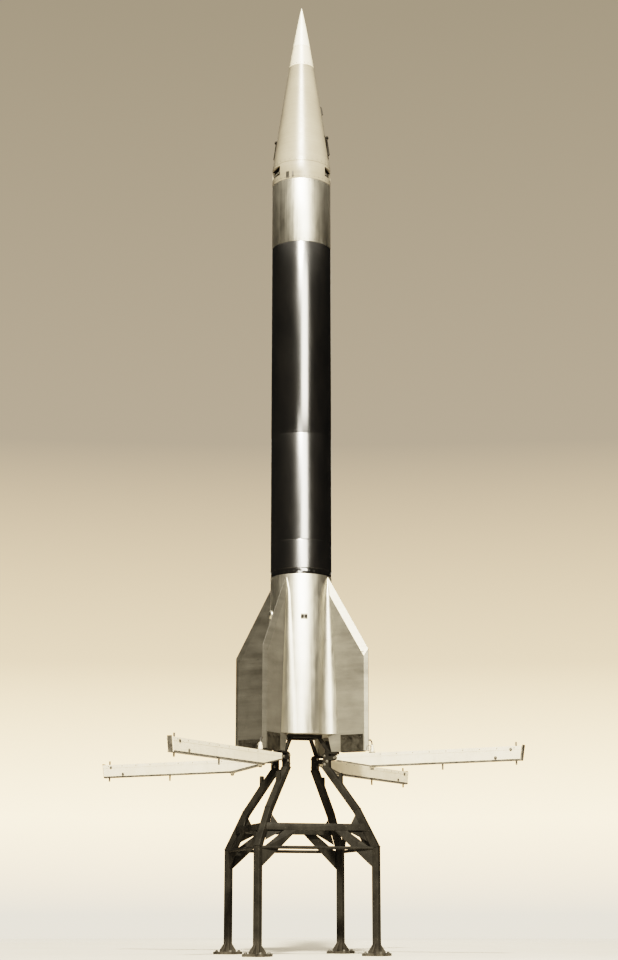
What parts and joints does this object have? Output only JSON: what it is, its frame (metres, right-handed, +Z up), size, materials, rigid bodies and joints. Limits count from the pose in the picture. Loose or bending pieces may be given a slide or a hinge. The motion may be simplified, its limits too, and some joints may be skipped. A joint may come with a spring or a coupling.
{
  "type": "sounding rocket on its launch table",
  "caption": "Slender finned sounding rocket with a pointed metal nose, gloss black tank and bare tail, standing on a legged tubular launch table with hinged guide arms in a cross.",
  "frame": {"origin": "on the ground, under the rocket's axis, at the centre of the launch table", "axes": "+Z up along the rocket's axis; fins, guide arms and legs along +X, +Y, -X and -Y"},
  "size_m": [4.212, 4.212, 8.92],
  "materials": {
    "bare_metal": "bare rolled sheet, satin, streaked",
    "tip_metal": "bare metal, polished",
    "black_paint": "gloss black enamel",
    "dark_steel": "dull dark steel",
    "light_paint": "satin off-white paint, worn",
    "table_paint": "satin dark olive-grey paint, scuffed",
    "lead_rubber": "matt black cable"
  },
  "bodies": {
    "rocket_and_table": {"nose_tip": "tip_metal", "nose_front_cone": "bare_metal", "nose_main_cone": "bare_metal", "aerial_blade_left": "dark_steel", "aerial_blade_right": "dark_steel", "port_ring": "bare_metal", "instrument_bay": "bare_metal", "forward_tank": "black_paint", "aft_tank": "black_paint", "tank_skirt": "black_paint", "tank_base_band": "black_paint", "tail_section": "bare_metal", "engine_block": "dark_steel", "nozzle": "dark_steel", "fin_front_left": "bare_metal", "fin_front_right": "bare_metal", "fin_back_right": "bare_metal", "fin_back_left": "bare_metal", "fin_shoe_front_left": "dark_steel", "fin_shoe_front_right": "dark_steel", "fin_shoe_back_right": "dark_steel", "fin_shoe_back_left": "dark_steel", "release_lead_front_left": "lead_rubber", "release_lead_front_right": "lead_rubber", "release_lead_back_right": "lead_rubber", "release_lead_back_left": "lead_rubber", "arm_pin_front_left": "dark_steel", "arm_pin_front_right": "dark_steel", "arm_pin_back_right": "dark_steel", "arm_pin_back_left": "dark_steel", "seat_frame": "table_paint", "leg_head_front_left": "table_paint", "leg_head_front_right": "table_paint", "leg_head_back_right": "table_paint", "leg_head_back_left": "table_paint", "leg_front_left": "table_paint", "leg_front_right": "table_paint", "leg_back_right": "table_paint", "leg_back_left": "table_paint", "frame_side_front_left": "table_paint", "frame_side_front_right": "table_paint", "frame_side_back_right": "table_paint", "frame_side_back_left": "table_paint"},
    "arm_front_left": {"guide_arm_front_left": "light_paint", "release_rod_front_left": "light_paint"},
    "arm_front_right": {"guide_arm_front_right": "light_paint", "release_rod_front_right": "light_paint"},
    "arm_back_right": {"guide_arm_back_right": "light_paint", "release_rod_back_right": "light_paint"},
    "arm_back_left": {"guide_arm_back_left": "light_paint", "release_rod_back_left": "light_paint"}
  },
  "joints": [
    {"name": "arm_drop_front_left", "type": "hinge", "parent": "rocket_and_table", "child": "arm_front_left", "pos_m": [0, -0.352, 1.668], "axis": [1, 0, 0], "range_deg": [0, 45]},
    {"name": "arm_drop_front_right", "type": "hinge", "parent": "rocket_and_table", "child": "arm_front_right", "pos_m": [0.352, 0, 1.668], "axis": [0, 1, 0], "range_deg": [0, 45]},
    {"name": "arm_drop_back_right", "type": "hinge", "parent": "rocket_and_table", "child": "arm_back_right", "pos_m": [0, 0.352, 1.668], "axis": [-1, 0, 0], "range_deg": [0, 45]},
    {"name": "arm_drop_back_left", "type": "hinge", "parent": "rocket_and_table", "child": "arm_back_left", "pos_m": [-0.352, 0, 1.668], "axis": [0, -1, 0], "range_deg": [0, 45]}
  ]
}
